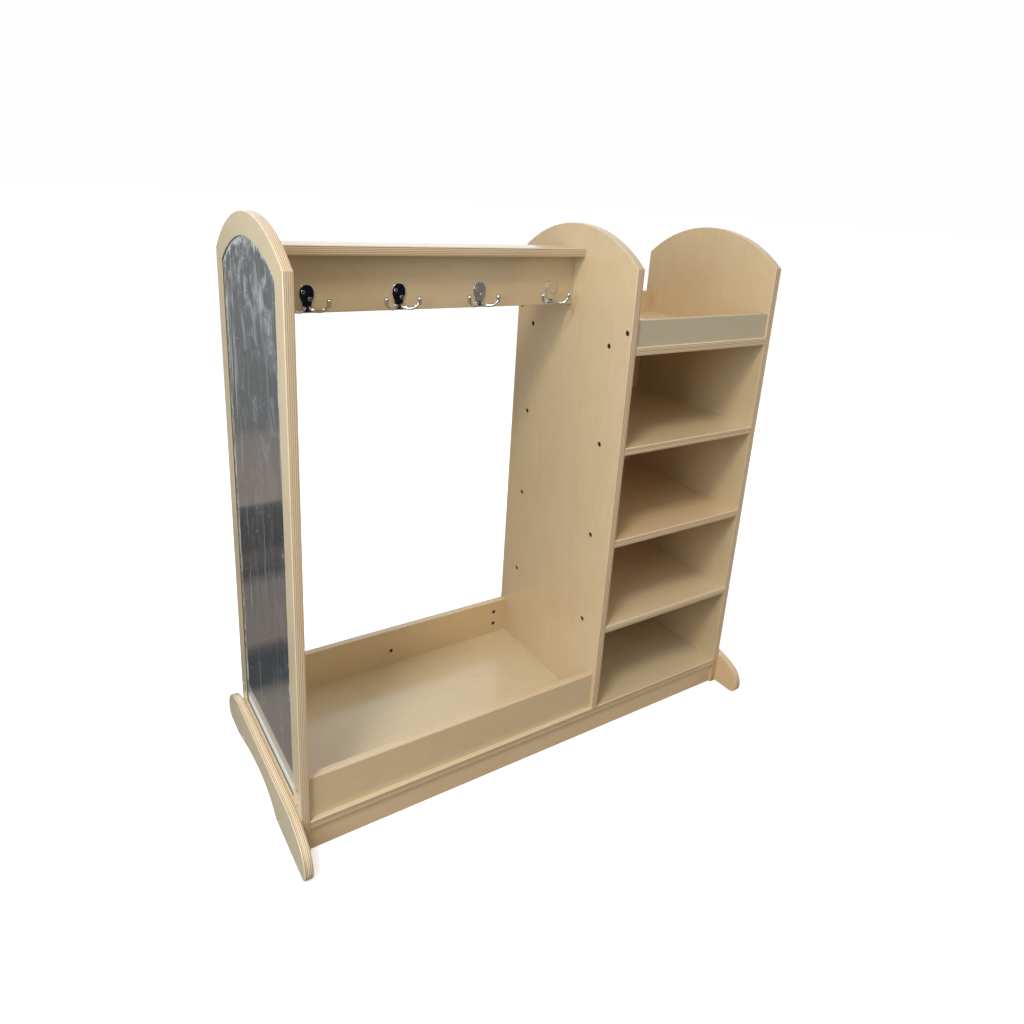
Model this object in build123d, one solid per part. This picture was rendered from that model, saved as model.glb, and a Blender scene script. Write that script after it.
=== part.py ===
"""Dress-up storage unit in birch plywood: mirror on the left side, hanging bay with coat hooks and a
floor tray, shelf bay with a top tray, and a curved foot screwed to each side panel.

Units are mm.  X runs along the width, the open front faces -Y, +Z is up and the floor is Z = 0.
The origin is the centre of the footprint.
"""
import os
from math import cos, radians, sin, sqrt

from build123d import *

# ---- boards
T = 18.0                 # thickness of every structural board
BAY_W = 700.0            # clear width of the hanging bay
SHELF_W = 410.0          # clear width of the shelf bay
DEPTH = 424.0            # front to back of the side panels
SHOULDER_Z = 1125.0      # height where the arched top begins
ARCH_RISE = 78.0         # rise of the arch above the shoulder
EDGE_R = 2.0             # roundover on exposed board edges

# ---- base, tray and shelves
BASE_TOP = 72.0          # top face of the base board
SHELF_PITCH = 223.0      # shelf to shelf, top face to top face
SHELF_COUNT = 4          # shelves above the base board, the highest is the floor of the top tray
BACK_T = 6.0             # thickness of the shelf bay's back panel
KICK_SETBACK = 6.0       # kick rails behind the board edges
TRAY_LIP_H = 93.0        # height of the front tray lip above the base board
TRAY_BACK_LIP_H = 97.0   # the rear one stands slightly taller
TRAY_LIP_SETBACK = 10.5  # front tray lip behind the board edges
BACK_LIP_SETBACK = 7.5   # both rear lips ahead of the rear edges
TOP_LIP_H = 57.0         # height of the lips on the top tray
TOP_LIP_SETBACK = 5.0    # front lip of the top tray behind the board edges

# ---- hanging rail and the board over it
RAIL_FRONT = -4.0        # Y of the rail's front face
RAIL_BOTTOM = 1025.0
RAIL_TOP = 1132.0
TOP_BOARD_W = 86.0       # front to back of the board over the rail

# ---- mirror in the outer face of the left side panel
RECESS_DEPTH = 6.0
RECESS_MARGIN = 42.0     # recess outline inside the panel outline
RECESS_BOTTOM = 105.0
MIRROR_T = 3.0
MIRROR_GAP = 1.0         # clearance round the mirror sheet

# ---- feet
FOOT_REACH = 72.0        # reach of the toe past the side panel, front and rear
FOOT_TOP = 90.0
FOOT_EDGE_R = 2.5
TOE_TOP_R = 180.0        # long curve from the straight top edge to the toe
TOE_TURN = 28.0          # degrees turned by that long curve
TOE_BOTTOM_R = 22.0      # curve from the tip of the toe to the floor
# hollow between the two soles: (distance behind the panel's front edge, height)
SOLE_ARCH = [(112, 0), (150, 21), (223, 31), (305, 23), (408, 0)]

# ---- joint screws, driven along X, sunk in open counterbores
BORE_R, BORE_DEPTH = 6.0, 6.0
HEAD_R, HEAD_T = 5.7, 3.0
SHANK_R, CLEAR_R = 2.5, 2.75
SCREW_LEN = 52.0         # below the head
SOCKET_AF, SOCKET_DEPTH = 5.0, 2.0
SHELF_SCREW_INSET = 68.0  # shelf screws from the front and rear board edges
FOOT_SCREW_LEN = 26.0    # below the head, ends inside the side panel
FOOT_SCREWS = [(87.0, 18.0), (361.0, 25.0)]   # (distance behind the panel's front edge, height)
LIP_BOLT_Z = [101.0, 137.0]                    # two bolts in each end of a tray lip
RAIL_SCREW_Z = [1050.0, 1107.0]
TOP_BOARD_SCREW_Y = [-24.0, 34.0]

# ---- barrel nuts that take the tray lip bolts
NUT_R, NUT_CLEAR, NUT_LEN = 5.5, 0.1, 14.0
NUT_INSET = 38.0         # from the end of the lip
NUT_SUNK = 1.0           # below the face of the lip
LIP_BOLT_LEN = 50.0

# ---- countersunk screw in the middle of the rear tray lip
CSK_Z = 110.0
CSK_HEAD_R, CSK_HEAD_T, CSK_SHANK_R = 5.0, 3.0, 2.0
CSK_CLEAR = 0.15
CSK_LEN = 17.0
CSK_CROSS_L, CSK_CROSS_DEPTH = 4.6, 1.5

# ---- coat hooks
HOOK_X0 = 87.0           # first hook from the left side panel
HOOK_PITCH = 183.0
HOOK_COUNT = 4
HOOK_BOTTOM = 1027.0     # lower end of the hook plate
PLATE_T = 3.0
# right half of the plate outline: (half width, height above the plate's lower end)
PLATE_HALF = [(12.0, 0.0), (10.0, 5.0), (9.0, 11.0), (10.2, 18.5), (13.0, 26.5), (14.2, 34.0), (13.2, 41.5),
              (8.8, 48.0), (0.0, 51.0)]
# centre line of the right arm: (X, reach ahead of the rail, height above the plate's lower end)
ARM_PATH = [(4.0, 3.2, 8.0), (11.0, 8.8, 3.9), (20.0, 16.4, 3.4), (29.0, 21.8, 7.6), (33.8, 23.6, 15.0),
            (35.0, 23.6, 22.0)]
ARM_R = 3.1
TIP_R, TIP_TAPER = 5.3, 11.0   # ball at the end of the arm, and how far below it the arm starts to swell
HOOK_SCREWS = [(-6.8, 37.0), (6.0, 24.0)]      # (X, height above the plate's lower end)
PLATE_EDGE_R = 0.8
ROOT_R, ROOT_Z = 4.6, 7.0   # boss where the arms leave the plate
HOOK_HEAD_R, HOOK_HEAD_T, HOOK_HEAD_EDGE_R = 3.5, 1.4, 1.0
HOOK_SHANK_R, HOOK_SHANK_LEN = 1.6, 14.0
HOOK_HOLE_R = 1.8
CROSS_W, CROSS_L, CROSS_DEPTH = 0.9, 3.6, 0.8

# ---- derived positions
OVERALL_W = BAY_W + SHELF_W + 5 * T
X_LEFT = -OVERALL_W / 2 + T          # outer face of the left side panel
X_BAY = X_LEFT + T                   # left side of the hanging bay
X_DIV = X_BAY + BAY_W                # left face of the divider
X_SHELF = X_DIV + T                  # left side of the shelf bay
X_RIGHT = X_SHELF + SHELF_W          # inner face of the right side panel
Y_FRONT, Y_BACK = -DEPTH / 2, DEPTH / 2
BACK_LIP_Y = Y_BACK - BACK_LIP_SETBACK - T
SHELF_TOPS = [BASE_TOP + SHELF_PITCH * n for n in range(1, SHELF_COUNT + 1)]
TOP_TRAY = SHELF_TOPS[-1]
RAIL_MID_Y = RAIL_FRONT + T / 2
HALF_DEPTH = DEPTH / 2
ARCH_R = (HALF_DEPTH ** 2 + ARCH_RISE ** 2) / (2 * ARCH_RISE)
ARCH_CENTRE_Z = SHOULDER_Z + ARCH_RISE - ARCH_R
LEFT_LIP_NUT_X = X_BAY + NUT_INSET
RIGHT_LIP_NUT_X = X_DIV - NUT_INSET
EPS = 1e-3


def board(x0, x1, y0, y1, z0, z1):
    """A plain rectangular board between the given limits."""
    return Pos((x0 + x1) / 2, (y0 + y1) / 2, (z0 + z1) / 2) * Box(x1 - x0, y1 - y0, z1 - z0)


def soften(solid, test, radius=EDGE_R):
    """Round the edges whose centre passes the test."""
    return fillet([e for e in solid.edges() if test(e.center(CenterOf.MASS))], radius)


def near(value, target):
    return abs(value - target) < EPS


def rod(point, direction, length, radius):
    """Cylinder that starts at the point and runs along the direction."""
    return extrude(Plane(origin=point, z_dir=direction) * Circle(radius), length)


def arched_face(margin, bottom):
    """Upright outline with an arched top in the YZ plane, kept inside the panel outline by the margin."""
    half = HALF_DEPTH - margin
    radius = ARCH_R - margin
    shoulder = ARCH_CENTRE_Z + sqrt(radius ** 2 - half ** 2)
    apex = ARCH_CENTRE_Z + radius
    sides = Polyline((-half, shoulder), (-half, bottom), (half, bottom), (half, shoulder))
    arch = ThreePointArc((-half, shoulder), (0, apex), (half, shoulder))
    return make_face([*sides.edges(), *arch.edges()])


def side_plane(x):
    """Upright plane at the given X, drawn in Y and Z."""
    return Plane(origin=(x, 0, 0), x_dir=(0, 1, 0), z_dir=(1, 0, 0))


def arched_panel(x0, bottom):
    """Side panel or divider: full depth, arched top, every edge but the bottom ones rounded."""
    panel = extrude(side_plane(x0) * arched_face(0, bottom), T)
    on_face = lambda c: near(c.X, x0) or near(c.X, x0 + T)
    return soften(panel, lambda c: on_face(c) and c.Z > bottom + EPS)


# ------------------------------------------------------------------ fasteners

def screw_bore(x_face, way, y, z, depth=BORE_DEPTH, length=SCREW_LEN):
    """Counterbore and clearance hole for one joint screw driven along X from the given face."""
    head = rod((x_face, y, z), (way, 0, 0), depth, BORE_R)
    return head + rod((x_face, y, z), (way, 0, 0), depth + length + 1, CLEAR_R)


def joint_screw(x_face, way, y, z, depth=BORE_DEPTH, length=SCREW_LEN):
    """Socket head screw whose head rests on the floor of its counterbore."""
    seat = x_face + way * depth
    top = seat - way * HEAD_T
    body = rod((top, y, z), (way, 0, 0), HEAD_T, HEAD_R) + rod((seat, y, z), (way, 0, 0), length, SHANK_R)
    hexagon = RegularPolygon(SOCKET_AF / 2, 6, major_radius=False)
    return body - extrude(Plane(origin=(top, y, z), z_dir=(way, 0, 0)) * hexagon, SOCKET_DEPTH)


def shelf_screw_spots():
    """(Y, Z) of the two screws in each end of every shelf."""
    ys = [Y_FRONT + SHELF_SCREW_INSET, Y_BACK - SHELF_SCREW_INSET]
    return [(y, top - T / 2) for top in SHELF_TOPS for y in ys]


def top_lip_screw_spots():
    """(Y, Z) of the screw in each end of the two top tray lips."""
    z = TOP_TRAY + TOP_LIP_H / 2
    return [(Y_FRONT + TOP_LIP_SETBACK + T / 2, z), (BACK_LIP_Y + T / 2, z)]


def lip_bolt_spots():
    """(Y, Z) of the bolts in each end of the two tray lips."""
    ys = [Y_FRONT + TRAY_LIP_SETBACK + T / 2, BACK_LIP_Y + T / 2]
    return [(y, z) for y in ys for z in LIP_BOLT_Z]


def rail_screw_spots():
    """(Y, Z) of the screws in each end of the rail and the board over it."""
    on_rail = [(RAIL_MID_Y, z) for z in RAIL_SCREW_Z]
    return on_rail + [(y, RAIL_TOP + T / 2) for y in TOP_BOARD_SCREW_Y]


def foot_screw_spots():
    return [(Y_FRONT + back, z) for back, z in FOOT_SCREWS]


def screw_rows():
    """Every row of joint screws: name, face X, way, spots, counterbore depth, length."""
    right_face = X_RIGHT + T
    hidden_face = X_LEFT + RECESS_DEPTH
    return [
        ("shelf_screws_left", X_DIV, 1, shelf_screw_spots(), BORE_DEPTH, SCREW_LEN),
        ("shelf_screws_right", right_face, -1, shelf_screw_spots(), BORE_DEPTH, SCREW_LEN),
        ("top_lip_screws_left", X_DIV, 1, top_lip_screw_spots(), BORE_DEPTH, SCREW_LEN),
        ("top_lip_screws_right", right_face, -1, top_lip_screw_spots(), BORE_DEPTH, SCREW_LEN),
        ("tray_bolts_left", X_LEFT, 1, lip_bolt_spots(), BORE_DEPTH, LIP_BOLT_LEN),
        ("tray_bolts_right", X_SHELF, -1, lip_bolt_spots(), BORE_DEPTH, LIP_BOLT_LEN),
        ("rail_screws_left", hidden_face, 1, rail_screw_spots(), HEAD_T, SCREW_LEN),
        ("rail_screws_right", X_SHELF, -1, rail_screw_spots(), BORE_DEPTH, SCREW_LEN),
        ("foot_screws_left", X_LEFT - T, 1, foot_screw_spots(), BORE_DEPTH, FOOT_SCREW_LEN),
        ("foot_screws_right", right_face + T, -1, foot_screw_spots(), BORE_DEPTH, FOOT_SCREW_LEN),
    ]


def bored(solid, *rows):
    """Cut the holes of the named screw rows out of a board."""
    for name, x_face, way, spots, depth, length in screw_rows():
        if name in rows:
            for y, z in spots:
                solid -= screw_bore(x_face, way, y, z, depth, length)
    return solid


def barrel_nuts():
    """Cross dowels in both tray lips, drilled from the faces that look into the tray."""
    nuts = []
    for y_face, way in lip_nut_faces():
        for x in (LEFT_LIP_NUT_X, RIGHT_LIP_NUT_X):
            for z in LIP_BOLT_Z:
                start = y_face + way * NUT_SUNK
                nut = rod((x, start, z), (0, way, 0), NUT_LEN, NUT_R)
                middle = y_face + way * T / 2
                nut -= rod((x - NUT_R * 2, middle, z), (1, 0, 0), NUT_R * 4, CLEAR_R)
                slot = board(x - NUT_R, x + NUT_R, start - 1, start + 1, z - CROSS_W / 2, z + CROSS_W / 2)
                nuts.append(nut - slot)
    return Compound(children=nuts)


def lip_nut_faces():
    """(face Y, drilling way) of the front and rear tray lips."""
    return [(Y_FRONT + TRAY_LIP_SETBACK + T, -1), (BACK_LIP_Y, 1)]


def cut_nut_holes(lip, y_face, way):
    for x in (LEFT_LIP_NUT_X, RIGHT_LIP_NUT_X):
        for z in LIP_BOLT_Z:
            lip -= rod((x, y_face, z), (0, way, 0), NUT_SUNK + NUT_LEN + NUT_CLEAR, NUT_R + NUT_CLEAR)
    return lip


def csk_face():
    """Plane on the rear tray lip where the countersunk screw goes in, midway along the bay."""
    return Plane(origin=(X_BAY + BAY_W / 2, BACK_LIP_Y, CSK_Z), z_dir=(0, 1, 0))


def countersunk(extra):
    """Cone and shank of the countersunk screw, or of its through hole when extra is the clearance."""
    face = csk_face()
    head = loft([face * Circle(CSK_HEAD_R + extra), face.offset(CSK_HEAD_T) * Circle(CSK_SHANK_R + extra)])
    return head + extrude(face * Circle(CSK_SHANK_R + extra), T + 1 if extra else CSK_LEN)


def countersunk_screw():
    cross = Rectangle(CSK_CROSS_L, CROSS_W) + Rectangle(CROSS_W, CSK_CROSS_L)
    return countersunk(0) - extrude(csk_face() * cross, CSK_CROSS_DEPTH)


# ------------------------------------------------------------------ boards

def left_side_panel():
    panel = arched_panel(X_LEFT, 0)
    panel -= extrude(side_plane(X_LEFT) * arched_face(RECESS_MARGIN, RECESS_BOTTOM), RECESS_DEPTH)
    return bored(panel, "tray_bolts_left", "rail_screws_left", "foot_screws_left")


def mirror_sheet():
    """Arched mirror lying on the floor of the recess."""
    outline = arched_face(RECESS_MARGIN + MIRROR_GAP, RECESS_BOTTOM + MIRROR_GAP)
    return extrude(side_plane(X_LEFT + RECESS_DEPTH - MIRROR_T) * outline, MIRROR_T)


def divider_panel():
    panel = arched_panel(X_DIV, BASE_TOP)
    return bored(panel, "shelf_screws_left", "top_lip_screws_left", "tray_bolts_right", "rail_screws_right")


def right_side_panel():
    panel = arched_panel(X_RIGHT, 0)
    return bored(panel, "shelf_screws_right", "top_lip_screws_right", "foot_screws_right")


def base_board():
    base = board(X_BAY, X_RIGHT, Y_FRONT, Y_BACK, BASE_TOP - T, BASE_TOP)
    return soften(base, lambda c: near(abs(c.Y), HALF_DEPTH) and near(c.X, (X_BAY + X_RIGHT) / 2))


def kick_rail(y0):
    return board(X_BAY, X_RIGHT, y0, y0 + T, 0, BASE_TOP - T)


def shelf(top):
    """Shelf between the divider and the right side panel, in front of the back panel."""
    plank = board(X_SHELF, X_RIGHT, Y_FRONT, Y_BACK - BACK_T, top - T, top)
    plank = soften(plank, lambda c: near(c.Y, Y_FRONT) and near(c.X, X_SHELF + SHELF_W / 2))
    return bored(plank, "shelf_screws_left", "shelf_screws_right")


def lip(x0, x1, y0, z0, height):
    """Upright lip with a rounded top."""
    strip = board(x0, x1, y0, y0 + T, z0, z0 + height)
    return soften(strip, lambda c: near(c.Z, z0 + height) and near(c.X, (x0 + x1) / 2))


def tray_front_lip():
    strip = lip(X_BAY, X_DIV, Y_FRONT + TRAY_LIP_SETBACK, BASE_TOP, TRAY_LIP_H)
    return bored(cut_nut_holes(strip, *lip_nut_faces()[0]), "tray_bolts_left", "tray_bolts_right")


def tray_back_lip():
    strip = lip(X_BAY, X_DIV, BACK_LIP_Y, BASE_TOP, TRAY_BACK_LIP_H) - countersunk(CSK_CLEAR)
    return bored(cut_nut_holes(strip, *lip_nut_faces()[1]), "tray_bolts_left", "tray_bolts_right")


def top_tray_lip(y0):
    strip = lip(X_SHELF, X_RIGHT, y0, TOP_TRAY, TOP_LIP_H)
    return bored(strip, "top_lip_screws_left", "top_lip_screws_right")


def back_panel():
    return board(X_SHELF, X_RIGHT, Y_BACK - BACK_T, Y_BACK, BASE_TOP, TOP_TRAY)


def hook_rail():
    rail = board(X_BAY, X_DIV, RAIL_FRONT, RAIL_FRONT + T, RAIL_BOTTOM, RAIL_TOP)
    rail = soften(rail, lambda c: near(c.Z, RAIL_BOTTOM) and near(c.X, X_BAY + BAY_W / 2))
    for x in hook_centres():
        for dx, dz in HOOK_SCREWS:
            rail -= rod((x + dx, RAIL_FRONT, HOOK_BOTTOM + dz), (0, 1, 0), HOOK_SHANK_LEN, HOOK_HOLE_R)
    return bored(rail, "rail_screws_left", "rail_screws_right")


def top_board():
    y0 = RAIL_MID_Y - TOP_BOARD_W / 2
    plank = board(X_BAY, X_DIV, y0, y0 + TOP_BOARD_W, RAIL_TOP, RAIL_TOP + T)
    plank = soften(plank, lambda c: near(abs(c.Y - RAIL_MID_Y), TOP_BOARD_W / 2)
                   and near(c.X, X_BAY + BAY_W / 2))
    return bored(plank, "rail_screws_left", "rail_screws_right")


def toe_arcs():
    """Front toe from the straight top edge down to the floor: three arcs, each tangent to the next."""
    turn = radians(TOE_TURN)
    tip_r = (FOOT_TOP - TOE_BOTTOM_R - TOE_TOP_R * (1 - cos(turn))) / cos(turn)
    start = Y_FRONT - FOOT_REACH + tip_r * (1 - sin(turn)) + TOE_TOP_R * sin(turn)
    long_arc = JernArc((start, FOOT_TOP), (-1, 0), TOE_TOP_R, TOE_TURN)
    tip_arc = JernArc(long_arc @ 1, long_arc % 1, tip_r, 90 - TOE_TURN)
    floor_arc = JernArc(tip_arc @ 1, tip_arc % 1, TOE_BOTTOM_R, 90)
    return [long_arc, tip_arc, floor_arc]


def foot(x0, row):
    """Curved foot: two flat soles with a hollow between them, toes past the panel front and rear."""
    front = [e for arc in toe_arcs() for e in arc.edges()]
    rear = [e.mirror(Plane.YZ) for e in front]
    top_front, sole_front = front[0] @ 0, front[-1] @ 1
    hollow = [(Y_FRONT + back, z) for back, z in SOLE_ARCH]
    joins = [
        Line(top_front, (-top_front.X, FOOT_TOP)),
        Line(sole_front, hollow[0]),
        Spline(*hollow),
        Line(hollow[-1], (-sole_front.X, 0)),
    ]
    face = make_face(front + rear + [e for curve in joins for e in curve.edges()])
    solid = extrude(side_plane(x0) * face, T)
    solid = soften(solid, lambda c: not near(c.X, x0 + T / 2), FOOT_EDGE_R)
    return bored(solid, row)


# ------------------------------------------------------------------ coat hooks

def hook_centres():
    return [X_BAY + HOOK_X0 + HOOK_PITCH * n for n in range(HOOK_COUNT)]


def plate_outline():
    """Vase-shaped outline of the hook plate, symmetric about its centre line."""
    right = PLATE_HALF
    left = [(-w, h) for w, h in reversed(PLATE_HALF[:-1])]
    edge = Spline(*right, *left)
    foot_line = Line(left[-1], right[0])
    return make_face([*edge.edges(), *foot_line.edges()])


def hook_arm(side):
    """One arm that swells into a ball at its tip."""
    points = [(side * x, -reach, z) for x, reach, z in ARM_PATH]
    path = Spline(*points)
    section = Plane(origin=path @ 0, z_dir=path % 0) * Circle(ARM_R)
    end = path @ 1
    swell_start = Plane(origin=end - (path % 1) * TIP_TAPER, z_dir=path % 1)
    swell = loft([swell_start * Circle(ARM_R), swell_start.offset(TIP_TAPER) * Circle(TIP_R)])
    return sweep(section, path=path) + swell + Pos(end) * Sphere(TIP_R)


def coat_hook(x):
    """Double hook: flat plate on the rail and two arms that curve out and up."""
    plane = Plane(origin=(0, 0, 0), x_dir=(1, 0, 0), z_dir=(0, -1, 0))
    plate = extrude(plane * plate_outline(), PLATE_T)
    plate = soften(plate, lambda c: near(c.Y, -PLATE_T), PLATE_EDGE_R)
    root = Pos(0, -PLATE_T, ROOT_Z) * Sphere(ROOT_R)
    body = plate + hook_arm(1) + hook_arm(-1) + root
    body -= Pos(0, 20, 0) * Box(200, 40, 200)
    for dx, dz in HOOK_SCREWS:
        body -= rod((dx, 1, dz), (0, -1, 0), PLATE_T + 2, HOOK_HOLE_R)
    return Pos(x, RAIL_FRONT, HOOK_BOTTOM) * body


def hook_screws():
    """Round head screws that hold the hook plates."""
    screws = []
    for x in hook_centres():
        for dx, dz in HOOK_SCREWS:
            seat = (x + dx, RAIL_FRONT - PLATE_T, HOOK_BOTTOM + dz)
            head = rod(seat, (0, -1, 0), HOOK_HEAD_T, HOOK_HEAD_R)
            head = soften(head, lambda c: near(c.Y, seat[1] - HOOK_HEAD_T), HOOK_HEAD_EDGE_R)
            shank = rod(seat, (0, 1, 0), PLATE_T + HOOK_SHANK_LEN - 1, HOOK_SHANK_R)
            top = Plane(origin=(seat[0], seat[1] - HOOK_HEAD_T, seat[2]), z_dir=(0, 1, 0))
            cross = Rectangle(CROSS_L, CROSS_W) + Rectangle(CROSS_W, CROSS_L)
            screws.append(head + shank - extrude(top * cross, CROSS_DEPTH))
    return Compound(children=screws)


# ------------------------------------------------------------------ assembly

def all_nodes():
    nodes = {
        "left_side_panel": left_side_panel(),
        "mirror_sheet": mirror_sheet(),
        "divider_panel": divider_panel(),
        "right_side_panel": right_side_panel(),
        "base_board": base_board(),
        "front_kick_rail": kick_rail(Y_FRONT + KICK_SETBACK),
        "rear_kick_rail": kick_rail(Y_BACK - KICK_SETBACK - T),
        "tray_front_lip": tray_front_lip(),
        "tray_back_lip": tray_back_lip(),
        "hook_rail": hook_rail(),
        "top_board": top_board(),
        "top_tray_front_lip": top_tray_lip(Y_FRONT + TOP_LIP_SETBACK),
        "top_tray_back_lip": top_tray_lip(BACK_LIP_Y),
        "back_panel": back_panel(),
        "left_foot": foot(X_LEFT - T, "foot_screws_left"),
        "right_foot": foot(X_RIGHT + T, "foot_screws_right"),
        "barrel_nuts": barrel_nuts(),
        "tray_lip_screw": countersunk_screw(),
        "hook_screws": hook_screws(),
    }
    for n, top in enumerate(SHELF_TOPS, 1):
        nodes[f"shelf_{n}"] = shelf(top)
    for n, x in enumerate(hook_centres(), 1):
        nodes[f"coat_hook_{n}"] = coat_hook(x)
    for name, x_face, way, spots, depth, length in screw_rows():
        nodes[name] = Compound(children=[joint_screw(x_face, way, y, z, depth, length) for y, z in spots])
    return nodes


os.makedirs("parts", exist_ok=True)
for node_name, shape in all_nodes().items():
    export_step(shape, os.path.join("parts", node_name + ".step"))
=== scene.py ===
"""Looks for the dress-up storage unit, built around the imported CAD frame.  Metres, front faces -Y."""

import math

import bpy
from mathutils import Matrix, Vector


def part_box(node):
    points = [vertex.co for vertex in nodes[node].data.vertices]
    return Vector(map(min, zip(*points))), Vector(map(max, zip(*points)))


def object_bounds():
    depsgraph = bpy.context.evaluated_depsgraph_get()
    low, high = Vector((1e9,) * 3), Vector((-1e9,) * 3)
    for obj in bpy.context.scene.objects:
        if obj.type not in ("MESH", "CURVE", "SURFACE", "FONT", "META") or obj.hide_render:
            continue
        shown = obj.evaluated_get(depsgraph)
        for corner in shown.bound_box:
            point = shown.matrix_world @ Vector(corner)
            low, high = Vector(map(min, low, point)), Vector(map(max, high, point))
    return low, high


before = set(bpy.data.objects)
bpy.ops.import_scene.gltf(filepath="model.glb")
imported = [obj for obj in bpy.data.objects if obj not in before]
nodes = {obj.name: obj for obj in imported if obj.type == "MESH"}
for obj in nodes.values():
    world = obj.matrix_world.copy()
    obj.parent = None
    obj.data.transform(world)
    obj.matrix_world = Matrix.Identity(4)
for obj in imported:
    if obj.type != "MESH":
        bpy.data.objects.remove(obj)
cad_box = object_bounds()

AXES = "XYZ"
MIX_A, MIX_B, MIX_RESULT = 6, 7, 2      # the colour sockets of a Mix node


def rgba(colour):
    """A plain colour with its alpha added; a node's output is passed on as it is."""
    return (*colour, 1.0) if isinstance(colour, tuple) else colour


# ------------------------------------------------------------------ node graph helpers

class Graph:
    """A node tree, of a new material or of the world, with short calls for the nodes used here."""

    def __init__(self, name, tree=None):
        if tree is None:
            self.material = bpy.data.materials.new(name)
            self.material.use_nodes = True
            tree = self.material.node_tree
            tree.nodes.clear()
            self.out = tree.nodes.new("ShaderNodeOutputMaterial")
        self.tree = tree

    def node(self, kind, **inputs):
        made = self.tree.nodes.new("ShaderNode" + kind)
        for key, value in inputs.items():
            socket = key.replace("_", " ")
            if socket in made.inputs:
                self.put(made.inputs[socket], value)
            else:
                setattr(made, key, value)
        return made

    def put(self, socket, value):
        if isinstance(value, bpy.types.NodeSocket):
            self.tree.links.new(value, socket)
        else:
            socket.default_value = value

    def math(self, operation, a, b=0.0, c=0.0, clamp=False):
        made = self.tree.nodes.new("ShaderNodeMath")
        made.operation = operation
        made.use_clamp = clamp
        for socket, value in zip(made.inputs, (a, b, c)):
            self.put(socket, value)
        return made.outputs[0]

    def object_coords(self):
        return self.tree.nodes.new("ShaderNodeTexCoord").outputs["Object"]

    def stretched(self, vector, scale, offset):
        made = self.tree.nodes.new("ShaderNodeMapping")
        self.put(made.inputs["Vector"], vector)
        made.inputs["Scale"].default_value = scale
        made.inputs["Location"].default_value = offset
        return made.outputs[0]

    def noise(self, vector, scale, detail, rough=0.5, distortion=0.0):
        made = self.tree.nodes.new("ShaderNodeTexNoise")
        self.put(made.inputs["Vector"], vector)
        for key, value in (("Scale", scale), ("Detail", detail), ("Roughness", rough),
                           ("Distortion", distortion)):
            made.inputs[key].default_value = value
        return made.outputs[0]

    def ramp(self, fac, stops, smooth=True):
        made = self.tree.nodes.new("ShaderNodeValToRGB")
        made.color_ramp.interpolation = "EASE" if smooth else "LINEAR"
        while len(made.color_ramp.elements) < len(stops):
            made.color_ramp.elements.new(0.5)
        for element, (place, colour) in zip(made.color_ramp.elements, stops):
            element.position = place
            element.color = rgba(colour if isinstance(colour, tuple) else (colour,) * 3)
        self.put(made.inputs[0], fac)
        return made.outputs[0]

    def mix(self, fac, a, b, blend="MIX"):
        made = self.tree.nodes.new("ShaderNodeMix")
        made.data_type = "RGBA"
        made.blend_type = blend
        self.put(made.inputs[0], fac)
        self.put(made.inputs[MIX_A], rgba(a))
        self.put(made.inputs[MIX_B], rgba(b))
        return made.outputs[MIX_RESULT]

    def bump(self, height, distance, strength):
        made = self.tree.nodes.new("ShaderNodeBump")
        made.inputs["Distance"].default_value = distance
        made.inputs["Strength"].default_value = strength
        self.put(made.inputs["Height"], height)
        return made.outputs[0]

    def principled(self, colour, rough, normal=None, **constants):
        made = self.tree.nodes.new("ShaderNodeBsdfPrincipled")
        self.put(made.inputs["Base Color"], rgba(colour))
        self.put(made.inputs["Roughness"], rough)
        if normal is not None:
            self.put(made.inputs["Normal"], normal)
        for key, value in constants.items():
            made.inputs[key.replace("_", " ")].default_value = value
        return made.outputs[0]

    def finish(self, shader):
        self.tree.links.new(shader, self.out.inputs["Surface"])
        return self.material


# ------------------------------------------------------------------ birch plywood

PLY_M = 0.018 / 9       # thickness of one veneer
WAVER = 0.30            # how far the plies stray up and down, in veneers
FACE_KEEP = 0.4         # no point counts as nearer to a face than this, in veneers, so faces stay whole
GLUE_FROM = 0.42        # where a glue line starts, from a veneer's middle, in veneers
RELIEF = 0.00025        # depth of the fibre and of the sunk plies
LACQUER = dict(Coat_Weight=1.0, Coat_Roughness=0.17, IOR=1.48)

# face veneer, each colour multiplied by the board's tone, which carries painted light and shade as well as
# the veneer's own tone
PALE, STREAK, BLOTCH = (0.710, 0.556, 0.346), (0.622, 0.464, 0.262), (0.650, 0.502, 0.304)
CURL, FIBRE, FLECK = (0.590, 0.445, 0.258), (0.46, 0.31, 0.16), (0.40, 0.25, 0.12)

# knots and cut edges, the same on every board, and the painted shade for the mirror's recess wall
KNOT = (0.16, 0.08, 0.035)
END_GRAIN, END_PORES = (0.40, 0.245, 0.125), (0.25, 0.145, 0.07)
INNER_PALE, INNER_TAN = (0.86, 0.71, 0.49), (0.66, 0.46, 0.27)
GLUE, RECESS_SHADE = (0.16, 0.09, 0.04), (0.05, 0.045, 0.04)


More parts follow.
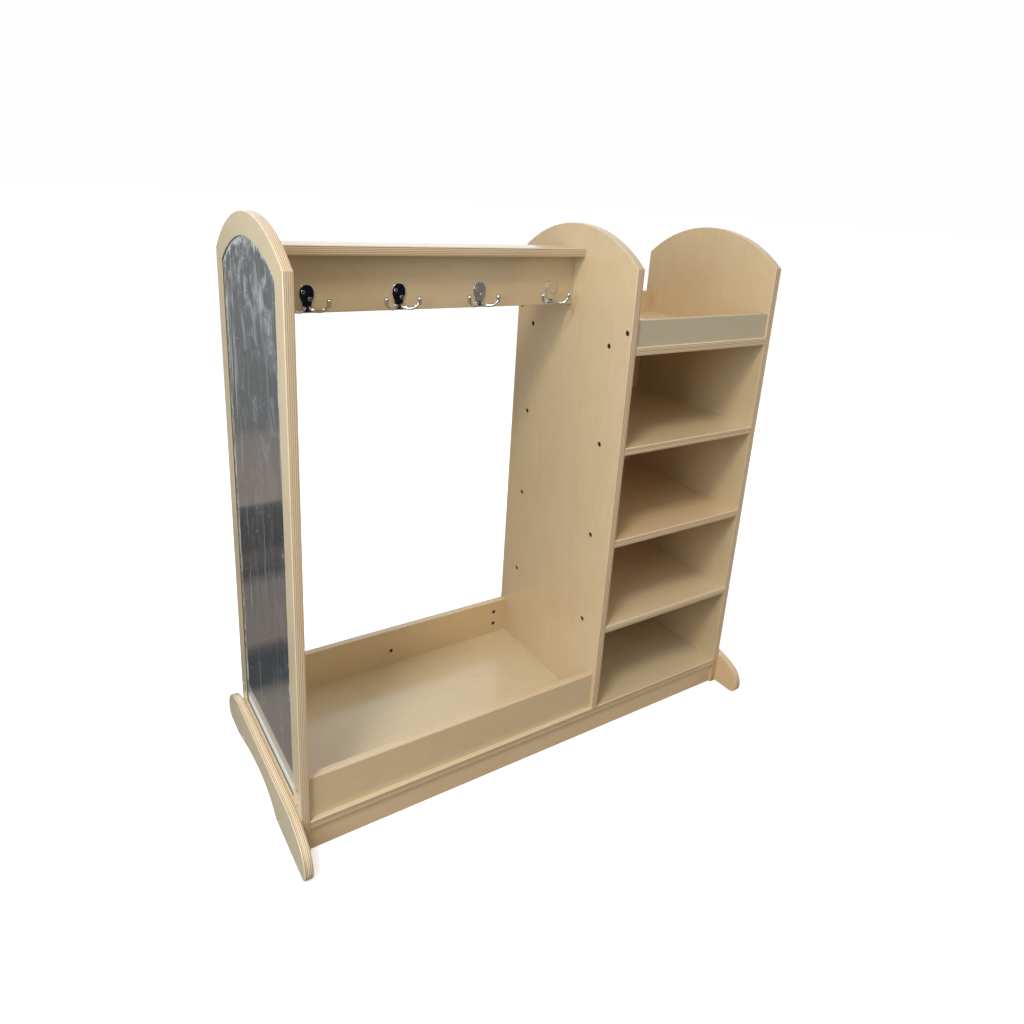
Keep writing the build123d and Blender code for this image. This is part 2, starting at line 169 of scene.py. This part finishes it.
class Plies:
    """Which veneer of a board a point lies in, by its depth from the board's lower face."""

    def __init__(self, g, across, low, high, coords, seed):
        count = max(3, 2 * round((high - low) / PLY_M / 2) + 1)
        depth = g.math("MULTIPLY", g.math("SUBTRACT", across, low), count / (high - low))
        waver = g.noise(g.stretched(coords, (3, 3, 3), (seed, 0, 0)), 6.0, 2)
        depth = g.math("ADD", depth, g.math("MULTIPLY", g.math("SUBTRACT", waver, 0.5), WAVER))
        depth = g.math("MINIMUM", g.math("MAXIMUM", depth, FACE_KEEP), count - FACE_KEEP)
        layer = g.math("FLOOR", depth)
        self.crossed = g.math("MODULO", layer, 2.0)
        from_middle = g.math("ABSOLUTE", g.math("SUBTRACT", g.math("FRACT", depth), 0.5))
        self.glue = g.math("GREATER_THAN", from_middle, GLUE_FROM)
        pick = g.node("CombineXYZ", X=g.math("MULTIPLY", layer, 0.37), Y=seed)
        self.tone = g.node("TexWhiteNoise", Vector=pick.outputs[0]).outputs[0]
        from_core = g.math("ABSOLUTE", g.math("SUBTRACT", depth, count / 2))
        self.inner = g.math("LESS_THAN", from_core, count / 2 - 0.5)


class Figure:
    """Wood figure drawn out along the grain, and the face veneer's colour that it makes."""

    def __init__(self, g, coords, grain, seed, tone):
        def along(ratio, offset):
            scale = [1.0, 1.0, 1.0]
            scale[grain] = 1.0 / ratio
            return g.stretched(coords, scale, (seed * 1.7 + offset, seed * 0.9, seed * 2.3))

        def toned(colour):
            return tuple(t * c for t, c in zip(tone, colour))

        def above(value, threshold, gain):
            return g.math("MULTIPLY", g.math("SUBTRACT", value, threshold), gain, clamp=True)

        self.blotch = g.noise(along(2.5, 0), 3.0, 3, 0.55)
        self.waves = g.noise(along(6.0, 5), 9.0, 4, 0.5, 1.3)
        self.fibre = g.noise(along(40.0, 9), 900.0, 3, 0.6)
        rings = g.ramp(self.waves, [(0.25, 0.0), (0.42, 0.75), (0.5, 0.3), (0.58, 0.85), (0.75, 0.1)])
        curl = g.noise(along(1.2, 3), 26.0, 3, 0.6)
        flecks = g.ramp(g.noise(along(14.0, 13), 420.0, 2, 0.5), [(0.60, 0.0), (0.74, 1.0)])
        spots = g.node("TexVoronoi", Vector=along(1.4, 21), Scale=5.0, feature="F1")
        knot = g.ramp(spots.outputs["Distance"], [(0.0, 1.0), (0.010, 0.8), (0.022, 0.0)])

        colour = g.mix(g.math("MULTIPLY", rings, 0.40), toned(PALE), toned(STREAK))
        for share, other in ((above(self.blotch, 0.35, 0.9), toned(BLOTCH)),
                             (above(curl, 0.42, 0.9), toned(CURL)),
                             (g.math("MULTIPLY", self.fibre, 0.20), toned(FIBRE)),
                             (g.math("MULTIPLY", flecks, 0.16), toned(FLECK)),
                             (g.math("MULTIPLY", knot, 0.5), KNOT)):
            colour = g.mix(share, colour, other)
        self.colour = colour


def cut_edge(g, coords, seed, plies, face):
    """Every other veneer shows its darker end grain, with thin glue lines between them."""
    pores = g.noise(g.stretched(coords, (1, 1, 1), (seed, seed, 0)), 1500.0, 2)
    tan = g.math("MULTIPLY", plies.inner, g.math("MULTIPLY", plies.tone, 0.55))
    ends = g.math("MULTIPLY", plies.crossed, g.math("ADD", 0.42, g.math("MULTIPLY", plies.tone, 0.56)))
    colour = g.mix(g.math("MULTIPLY", plies.inner, 0.60), face, INNER_PALE)
    colour = g.mix(tan, colour, INNER_TAN)
    colour = g.mix(ends, colour, g.mix(pores, END_GRAIN, END_PORES))
    return g.mix(g.math("MULTIPLY", plies.glue, 0.20), colour, GLUE)


def birch(name, thickness_axis, grain_axis, low, high, seed, tone, darkening=None):
    """Clear lacquered birch plywood: rotary-cut face veneer, and the plies wherever an edge is cut."""
    g = Graph(name)
    coords = g.object_coords()
    split = g.node("SeparateXYZ", Vector=coords).outputs
    plies = Plies(g, split[AXES.index(thickness_axis)], low, high, coords, seed)
    figure = Figure(g, coords, AXES.index(grain_axis), seed, tone)
    colour = cut_edge(g, coords, seed, plies, figure.colour)
    # darkening, where given, paints shade onto the colour: the painted shade on the mirror recess wall
    if darkening:
        colour = darkening(g, split, colour)

    height = g.math("ADD", g.math("MULTIPLY", figure.fibre, 0.5), g.math("MULTIPLY", figure.waves, 0.5))
    sunk = g.math("MULTIPLY", g.math("ADD", plies.crossed, plies.glue), 0.35)
    dry = g.math("ADD", 0.30, g.math("MULTIPLY", plies.crossed, 0.12))
    rough = g.math("ADD", g.math("MULTIPLY", figure.blotch, 0.14), dry)
    normal = g.bump(g.math("SUBTRACT", height, sunk), RELIEF, 0.6)
    return g.finish(g.principled(colour, rough, normal, **LACQUER))


# ------------------------------------------------------------------ mirror in its recess

mirror_low, mirror_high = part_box("mirror_sheet")
panel_low, panel_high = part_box("left_side_panel")
ARCH_RISE = 0.078                   # of the panel's arched top
MIRROR_MARGIN = 0.043               # from the panel's outline in to the mirror's
RECESS_DEPTHS = (0.0004, 0.008)     # painted shade on the recess wall, from under the panel's outer face down to a little past the recess floor
RECESS_REACH = 0.003                # the recess wall stands less than this outside the mirror
half_depth = panel_high.y
arch_radius = (half_depth ** 2 + ARCH_RISE ** 2) / (2 * ARCH_RISE)
arch_centre_z = mirror_high.z + MIRROR_MARGIN - arch_radius
mirror_radius = arch_radius - MIRROR_MARGIN


def mirror_inset(g, y, z):
    """Distance in from the mirror's arched outline."""
    from_side = g.math("SUBTRACT", mirror_high.y, g.math("ABSOLUTE", y))
    rise = g.math("MAXIMUM", g.math("SUBTRACT", z, arch_centre_z), 0.0)
    squares = g.math("ADD", g.math("POWER", g.math("ABSOLUTE", y), 2.0), g.math("POWER", rise, 2.0))
    from_arch = g.math("SUBTRACT", mirror_radius, g.math("SQRT", squares))
    from_sill = g.math("SUBTRACT", z, mirror_low.z)
    return g.math("MINIMUM", g.math("MINIMUM", from_side, from_arch), from_sill)


def shaded_recess_wall(g, split, colour):
    """Painted shade, near black, on the wall of the mirror's recess."""
    start, stop = (panel_low.x + depth for depth in RECESS_DEPTHS)
    deep = g.math("MULTIPLY", g.math("GREATER_THAN", split[0], start), g.math("LESS_THAN", split[0], stop))
    near = g.math("GREATER_THAN", mirror_inset(g, split[1], split[2]), -RECESS_REACH)
    # painted shade: the recess wall is mixed 0.88 of the way to near black
    return g.mix(g.math("MULTIPLY", g.math("MULTIPLY", deep, near), 0.88), colour, RECESS_SHADE)


def scuffs(g, coords, clouds, along_y, along_z):
    """Cloudy scuffs, laid on more thickly towards the top as painted light where the light catches the
    film, long thin scratches up and down, short slanted strokes all over.
    """
    # upper is partly real scuffing and partly painted light: the film's haze grows towards the top, where
    # the light catches it
    upper = g.ramp(along_z, [(0.0, 0.06), (0.55, 0.16), (0.76, 0.42), (0.93, 1.0)])
    cloud = g.math("MULTIPLY", g.ramp(clouds, [(0.48, 0.0), (0.64, 0.42), (0.82, 0.85)]), upper)

    lines = g.noise(g.stretched(coords, (1, 1, 0.012), (1.3, 4, 0)), 230.0, 2, 0.5)
    breaks = g.noise(g.stretched(coords, (1, 1, 0.25), (5, 1, 8)), 30.0, 2)
    broken = g.ramp(breaks, [(0.42, 0.0), (0.60, 1.0)])
    crowded = g.ramp(along_y, [(0.0, 0.9), (0.1, 0.25), (0.42, 0.3), (0.47, 0.8), (0.52, 0.3),
                               (0.72, 0.5), (0.86, 1.0)])
    line = g.math("MULTIPLY", g.ramp(lines, [(0.61, 0.0), (0.65, 0.85)]),
                  g.math("MULTIPLY", broken, crowded))

    slant = g.node("Mapping", Vector=coords, Rotation=(math.radians(-24), 0, 0), Scale=(1, 1, 0.09))
    strokes = g.ramp(g.noise(slant.outputs[0], 330.0, 2, 0.5), [(0.68, 0.0), (0.76, 0.30)])
    return cloud, line, strokes


def torn_edge(g, coords, inset):
    """White tatters and cream crumbs along the outline."""
    tatters = g.noise(g.stretched(coords, (1, 1, 0.30), (2, 7, 1)), 45.0, 4, 0.7)
    frayed = g.math("SUBTRACT", tatters, g.math("MULTIPLY", inset, 11.0))
    crumbs = g.noise(g.stretched(coords, (1, 1, 0.55), (9, 2, 5)), 210.0, 3, 0.7)
    rim = g.ramp(g.math("MULTIPLY", inset, 100.0), [(0.0, 0.22), (0.25, 0.13), (0.50, 0.0)])
    return (g.ramp(frayed, [(0.42, 0.0), (0.50, 0.75)]),
            g.ramp(g.math("ADD", crumbs, rim), [(0.66, 0.0), (0.72, 0.9)]))


def filmed_mirror():
    """Dark mirror under a scuffed, wrinkled protective film with ragged edges and a hem at the sill."""
    g = Graph("filmed_mirror")
    coords = g.object_coords()
    _, y, z = g.node("SeparateXYZ", Vector=coords).outputs
    above_sill = g.math("SUBTRACT", z, mirror_low.z)
    along_z = g.math("DIVIDE", above_sill, mirror_high.z - mirror_low.z)
    along_y = g.math("DIVIDE", g.math("SUBTRACT", y, mirror_low.y), mirror_high.y - mirror_low.y)
    inset = mirror_inset(g, y, z)
    clouds = g.noise(g.stretched(coords, (1, 1, 0.75), (3.1, 0, 0)), 20.0, 7, 0.72, 0.5)

    hem = g.ramp(above_sill, [(0.0, 0.90), (0.046, 0.80), (0.056, 0.0)])
    film = hem
    for layer in (*scuffs(g, coords, clouds, along_y, along_z), *torn_edge(g, coords, inset)):
        film = g.math("MAXIMUM", film, layer)
    film = g.math("MINIMUM", g.math("ADD", g.math("MULTIPLY", film, 0.70), 0.03), 0.85)

    ripples = g.noise(g.stretched(coords, (1, 1, 0.3), (0, 5, 1)), 14.0, 2)
    normal = g.bump(g.math("ADD", ripples, g.math("MULTIPLY", film, 0.1)), 0.001, 0.12)
    rough = g.math("ADD", 0.03, g.math("MULTIPLY", clouds, 0.06))
    silver = g.mix(clouds, (0.88, 0.88, 0.88), (0.80, 0.80, 0.80))
    glass = g.principled(silver, rough, normal, Metallic=1.0)

    white = g.mix(g.ramp(inset, [(0.0, 1.0), (0.006, 0.0)]), (0.64, 0.67, 0.69), (0.78, 0.72, 0.60))
    hem_colour = g.ramp(above_sill, [(0.018, (0.85, 0.86, 0.84)), (0.024, (0.30, 0.32, 0.29))])
    haze = g.principled(g.mix(g.math("GREATER_THAN", hem, 0.0), white, hem_colour), 0.5, normal)
    blend = g.node("MixShader")
    for socket, value in zip(blend.inputs, (film, glass, haze)):
        g.put(socket, value)
    return g.finish(blend.outputs[0])


# ------------------------------------------------------------------ metals

def chrome():
    g = Graph("chrome_plate")
    coords = g.object_coords()
    haze = g.noise(coords, 160.0, 3)
    rough = g.math("ADD", 0.05, g.math("MULTIPLY", haze, 0.07))
    waves = g.noise(coords, 90.0, 2)
    colour = g.mix(haze, (0.74, 0.73, 0.71), (0.58, 0.57, 0.56))
    return g.finish(g.principled(colour, rough, g.bump(waves, 0.0002, 0.35), Metallic=1.0))


def steel(name, light, dark, rough, metallic):
    g = Graph(name)
    darkening = g.noise(g.object_coords(), 700.0, 4)
    colour = g.mix(g.ramp(darkening, [(0.4, 0.0), (0.65, 1.0)]), light, dark)
    roughness = g.math("ADD", rough, g.math("MULTIPLY", darkening, 0.25))
    return g.finish(g.principled(colour, roughness, g.bump(darkening, 0.0002, 0.5), Metallic=metallic))


# ------------------------------------------------------------------ every node gets its material

def dress(node, material):
    """Give a CAD node its finished material."""
    mesh = nodes[node].data
    if not mesh.materials:
        mesh.materials.append(material)
    for n in range(len(mesh.materials)):
        mesh.materials[n] = material


# painted light and shade in the tones: shelf_4 and left_foot are brightened and cooled as a painted sheen,
# base_board is cooled as a painted sheen, shelf_1 to shelf_3 and right_foot are brightened as painted
# light, and right_side_panel, divider_panel, top_board and hook_rail are darkened as painted shade
BOARDS = {   # node: (thickness axis, grain axis, tone: veneer tone with painted light and shade)
    "left_side_panel": ("X", "Z", (1.00, 1.03, 1.09)), "divider_panel": ("X", "Z", (0.95, 0.94, 0.94)),
    "right_side_panel": ("X", "Z", (0.92, 0.91, 0.90)),
    "left_foot": ("X", "Y", (1.17, 1.27, 1.42)), "right_foot": ("X", "Y", (1.13, 1.03, 0.95)),
    "base_board": ("Z", "X", (0.97, 1.02, 1.06)), "top_board": ("Z", "X", (0.90, 0.90, 0.90)),
    "shelf_1": ("Z", "X", (1.09, 1.10, 1.14)), "shelf_2": ("Z", "X", (1.12, 1.07, 1.03)),
    "shelf_3": ("Z", "X", (1.14, 1.17, 1.20)), "shelf_4": ("Z", "X", (1.13, 1.22, 1.34)),
    "front_kick_rail": ("Y", "X", (1.06, 1.03, 1.03)), "rear_kick_rail": ("Y", "X", (1.0, 1.0, 1.0)),
    "tray_front_lip": ("Y", "X", (0.95, 0.94, 0.94)), "tray_back_lip": ("Y", "X", (1.01, 1.00, 0.93)),
    "top_tray_front_lip": ("Y", "X", (0.75, 0.84, 0.96)),
    "top_tray_back_lip": ("Y", "X", (1.05, 1.03, 1.0)),
    "hook_rail": ("Y", "X", (0.89, 0.89, 0.87)), "back_panel": ("Y", "Z", (1.16, 1.08, 0.96)),
}
SEED_STEP = 3.37        # sets the figure of one board apart from the next one's

for number, (node, (thickness_axis, grain_axis, tone)) in enumerate(BOARDS.items(), 1):
    low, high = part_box(node)
    axis = AXES.index(thickness_axis)
    # only the left panel's mirror recess gets painted shade on its wall
    darkening = shaded_recess_wall if node == "left_side_panel" else None
    dress(node, birch("birch_" + node, thickness_axis, grain_axis, low[axis], high[axis],
                      number * SEED_STEP, tone, darkening))

bright = chrome()
black = steel("black_oxide", (0.030, 0.026, 0.023), (0.010, 0.008, 0.007), 0.35, 0.6)
zinc = steel("dark_zinc", (0.10, 0.09, 0.08), (0.05, 0.04, 0.035), 0.4, 0.9)
for node in nodes:
    if node.startswith("coat_hook") or node == "hook_screws":
        dress(node, bright)
    elif node in ("barrel_nuts", "tray_lip_screw"):
        dress(node, zinc)
    elif "screws" in node or "bolts" in node:
        dress(node, black)

dress("mirror_sheet", filmed_mirror())


# ------------------------------------------------------------------ stage: floors and reflected cards

FLOOR_REACH = 60.0


def plane(name, corners):
    mesh = bpy.data.meshes.new(name)
    mesh.from_pydata(corners, [], [tuple(range(len(corners)))])
    made = bpy.data.objects.new(name, mesh)
    bpy.context.scene.collection.objects.link(made)
    return made


def ground(name, height, material_name, colour, **constants):
    signs = ((-1, -1), (1, -1), (1, 1), (-1, 1))
    made = plane(name, [(x * FLOOR_REACH, y * FLOOR_REACH, height) for x, y in signs])
    g = Graph(material_name)
    made.data.materials.append(g.finish(g.principled(colour, 0.9, **constants)))
    return made


# the floor that the camera sees is pale and glows a little
floor = ground("floor", 0.0, "pale_floor", (0.88, 0.88, 0.88), Emission_Strength=0.50,
               Emission_Color=(1, 1, 1, 1))
floor.visible_diffuse = floor.visible_glossy = False

# what a real room would bounce onto the unit: a darker floor that the camera doesn't see
bounce = ground("bounce_floor", -0.002, "bounce_floor_paint", (0.44, 0.39, 0.33))
bounce.visible_camera = False

# the room that the mirror and the chrome reflect
CARD_LIFT = 0.004                       # the floor card lies just over the floor
ROOM_LEFT, ROOM_BACK, ROOM_FRONT = -6.5, 18.0, -1.5
LEFT_WALL_H = 2.6
FRONT_Y, FRONT_LEFT, FRONT_SPLIT, FRONT_RIGHT = -3.0, -0.9, 1.45, 3.6
WINDOW_LEFT, WINDOW_SILL, WINDOW_HEAD = 0.70, 2.1, 3.6
beside_unit = cad_box[0][0] - 0.002


def card(name, corners, glow, strength=1.0):
    """A glowing card seen only in reflections; glow is its colour or a function that makes one."""
    made = plane(name, corners)
    g = Graph(name + "_glow")
    colour = glow(g) if callable(glow) else rgba(glow)
    made.data.materials.append(g.finish(g.node("Emission", Color=colour, Strength=strength).outputs[0]))
    made.visible_camera = made.visible_diffuse = made.visible_shadow = made.visible_transmission = False


def front_card(name, left, right, height, glow):
    card(name, [(left, FRONT_Y, 0.0), (right, FRONT_Y, 0.0),
                (right, FRONT_Y, height), (left, FRONT_Y, height)], glow)


def room_floor(g):
    """Boards with a striped rug and dark furniture, in bands by distance behind, in tens of metres."""
    back = g.node("SeparateXYZ", Vector=g.object_coords()).outputs[1]
    return g.ramp(g.math("MULTIPLY", back, 0.1), [
        (0.000, (0.20, 0.175, 0.150)), (0.030, (0.19, 0.165, 0.145)), (0.034, (0.045, 0.050, 0.052)),
        (0.050, (0.040, 0.041, 0.043)), (0.053, (0.165, 0.140, 0.125)), (0.086, (0.150, 0.130, 0.115)),
        (0.094, (0.050, 0.045, 0.045)), (0.108, (0.085, 0.075, 0.068)), (0.112, (0.045, 0.042, 0.042)),
        (0.148, (0.060, 0.057, 0.057)), (0.152, (0.215, 0.182, 0.158)), (0.235, (0.190, 0.165, 0.150)),
        (0.250, (0.128, 0.128, 0.128)), (0.600, (0.150, 0.152, 0.152))], smooth=False)


def window_glow(g):
    """Greenish daylight that fades towards the left."""
    across = g.node("SeparateXYZ", Vector=g.object_coords()).outputs[0]
    return g.ramp(g.math("SUBTRACT", across, WINDOW_LEFT),
                  [(0.0, (0.35, 0.38, 0.37)), (0.55, (1.0, 1.10, 1.08))])


card("card_floor", [(ROOM_LEFT, ROOM_FRONT, CARD_LIFT), (beside_unit, ROOM_FRONT, CARD_LIFT),
                    (beside_unit, ROOM_BACK, CARD_LIFT), (ROOM_LEFT, ROOM_BACK, CARD_LIFT)], room_floor)
card("card_left", [(ROOM_LEFT, ROOM_FRONT, 0.0), (ROOM_LEFT, ROOM_BACK, 0.0),
                   (ROOM_LEFT, ROOM_BACK, LEFT_WALL_H), (ROOM_LEFT, ROOM_FRONT, LEFT_WALL_H)],
     (0.12, 0.13, 0.135))
front_card("card_front", FRONT_LEFT, FRONT_SPLIT, 1.5, (0.006, 0.007, 0.012))
front_card("card_front_right", FRONT_SPLIT, FRONT_RIGHT, 1.8, (0.22, 0.21, 0.20))
card("card_rear_window", [(WINDOW_LEFT, 4.0, WINDOW_SILL), (2.10, 3.45, WINDOW_SILL),
                          (1.40, 3.6, WINDOW_HEAD), (WINDOW_LEFT, 4.0, WINDOW_HEAD)], window_glow, 1.45)


# ------------------------------------------------------------------ light

def area_light(name, place, target, size, power, colour, seen_in_gloss=True):
    lamp = bpy.data.lights.new(name, "AREA")
    lamp.shape, lamp.size, lamp.energy, lamp.color = "SQUARE", size, power, colour
    made = bpy.data.objects.new(name, lamp)
    made.location = place
    made.visible_glossy = seen_in_gloss
    made.rotation_mode = "QUATERNION"
    made.rotation_quaternion = (Vector(target) - Vector(place)).to_track_quat("-Z", "Y")
    bpy.context.scene.collection.objects.link(made)


area_light("window", (-1.9, -0.75, 1.35), (0, 0, 0.6), 1.25, 26, (0.84, 0.98, 1.10))
area_light("ceiling_lamp", (-2.2, -1.6, 3.9), (0, 0, 0.4), 0.8, 74, (1.03, 0.97, 0.87))
area_light("front_fill", (2.1, -1.8, 0.8), (0.5, 0, 0.5), 1.0, 6, (1.0, 0.96, 0.90), seen_in_gloss=False)
area_light("right_fill", (3.2, 0.6, 1.1), (0.6, 0, 0.6), 1.5, 18, (1.0, 0.98, 0.95), seen_in_gloss=False)

# room brightness by direction: bright behind the unit, about half as bright elsewhere, a pale ceiling
BRIGHT_X, BRIGHT_Y = 0.56, 0.83         # the bright direction, seen from above
world = bpy.data.worlds.new("studio")
bpy.context.scene.world = world
world.use_nodes = True
background = world.node_tree.nodes["Background"].inputs
sky = Graph("sky", world.node_tree)
away = sky.node("SeparateXYZ", Vector=sky.tree.nodes.new("ShaderNodeTexCoord").outputs["Generated"]).outputs
behind = sky.math("ADD", sky.math("MULTIPLY", away[0], BRIGHT_X), sky.math("MULTIPLY", away[1], BRIGHT_Y))
backdrop = sky.ramp(sky.math("MULTIPLY_ADD", behind, 0.5, 0.5),
                    [(0.0, (0.52, 0.50, 0.47)), (0.70, (0.53, 0.54, 0.55)), (0.88, (0.92, 0.92, 0.92))])
ceiling = sky.ramp(away[2], [(0.3, 0.0), (0.7, 0.40)])
sky.put(background["Color"], sky.mix(1.0, backdrop, ceiling, "LIGHTEN"))
background["Strength"].default_value = 1.08
bpy.context.scene.view_settings.view_transform = "Standard"


# ------------------------------------------------------------------ camera

# standing eye height, at the unit's left front corner, with a slight roll
CAMERA_PLACE = (-0.9268, -1.3621, 1.2591)
HEADING, DOWN, ROLL = math.radians(34.13), math.radians(17.80), math.radians(3.50)
SENSOR_MM, LENS_MM, SHIFT_UP = 36.0, 26.48, -0.0762

camera_data = bpy.data.cameras.new("camera")
camera_data.sensor_width, camera_data.lens, camera_data.shift_y = SENSOR_MM, LENS_MM, SHIFT_UP
camera = bpy.data.objects.new("camera", camera_data)
look = Vector((math.sin(HEADING) * math.cos(DOWN), math.cos(HEADING) * math.cos(DOWN), -math.sin(DOWN)))
level = look.cross(Vector((0, 0, 1))).normalized()
upright = level.cross(look)
right = math.cos(ROLL) * level + math.sin(ROLL) * upright
up = math.cos(ROLL) * upright - math.sin(ROLL) * level
turn = Matrix((right, up, -look)).transposed()
camera.matrix_world = Matrix.Translation(CAMERA_PLACE) @ turn.to_4x4()
bpy.context.scene.collection.objects.link(camera)
bpy.context.scene.camera = camera
